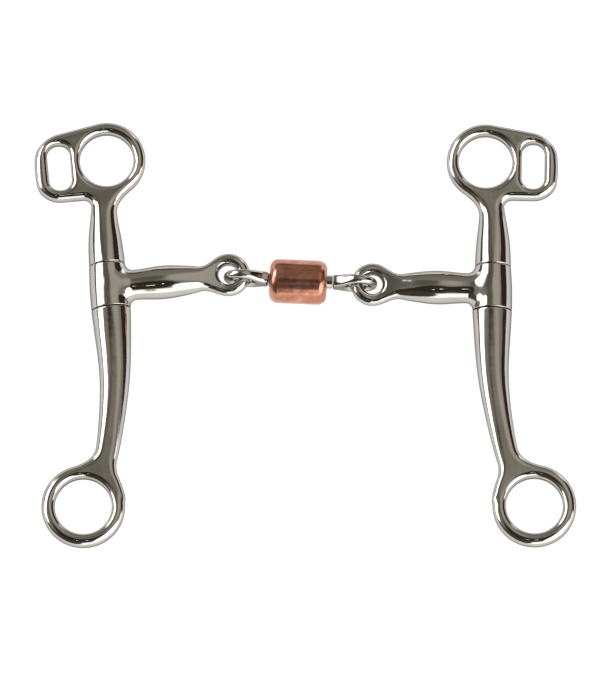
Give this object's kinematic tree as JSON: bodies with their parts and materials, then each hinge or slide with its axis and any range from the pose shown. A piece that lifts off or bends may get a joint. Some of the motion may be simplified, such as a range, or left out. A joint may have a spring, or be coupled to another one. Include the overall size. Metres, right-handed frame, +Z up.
{
  "type": "curb bit",
  "caption": "Loose-cheek curb bit for a bridle: swivelling cheeks with headstall eyes, curb slots and rein rings on a double-jointed mouthpiece with a copper roller.",
  "frame": {"origin": "under the middle of the box, on the surface that the bit lies on", "axes": "+X across the mouthpiece from cheek to cheek, +Y towards the headstall eyes, +Z up"},
  "size_m": [0.2002, 0.1614, 0.0164],
  "materials": {
    "polished_steel": "polished stainless steel",
    "copper": "polished copper"
  },
  "bodies": {
    "centre_link": {"link_axle_half": "polished_steel", "link_socket_half": "polished_steel"},
    "roller": {"copper_roller": "copper"},
    "left_mouthpiece": {"left_cannon": "polished_steel"},
    "left_cheek": {"left_upper_cheek": "polished_steel", "left_lower_shank": "polished_steel", "left_swivel_pin": "polished_steel"},
    "right_mouthpiece": {"right_cannon": "polished_steel"},
    "right_cheek": {"right_upper_cheek": "polished_steel", "right_lower_shank": "polished_steel", "right_swivel_pin": "polished_steel"}
  },
  "joints": [
    {"name": "roller_spin", "type": "hinge", "parent": "centre_link", "child": "roller", "pos_m": [-0.00215, 0.02002, 0.0082], "axis": [0.9988, -0.048, 0], "continuous": true},
    {"name": "left_fold", "type": "hinge", "parent": "centre_link", "child": "left_mouthpiece", "pos_m": [-0.0228, 0.02151, 0.0082], "axis": [0.048, 0.9988, 0], "range_deg": [-90, 90]},
    {"name": "left_swivel", "type": "hinge", "parent": "left_mouthpiece", "child": "left_cheek", "pos_m": [-0.07221, 0.01793, 0.00817], "axis": [-0.094, 0.9942, 0.052], "continuous": true},
    {"name": "right_fold", "type": "hinge", "parent": "centre_link", "child": "right_mouthpiece", "pos_m": [0.02015, 0.01945, 0.0082], "axis": [-0.048, -0.9988, 0], "range_deg": [-90, 90]},
    {"name": "right_swivel", "type": "hinge", "parent": "right_mouthpiece", "child": "right_cheek", "pos_m": [0.0698, 0.01734, 0.00817], "axis": [0.0227, 0.9984, 0.052], "continuous": true}
  ]
}
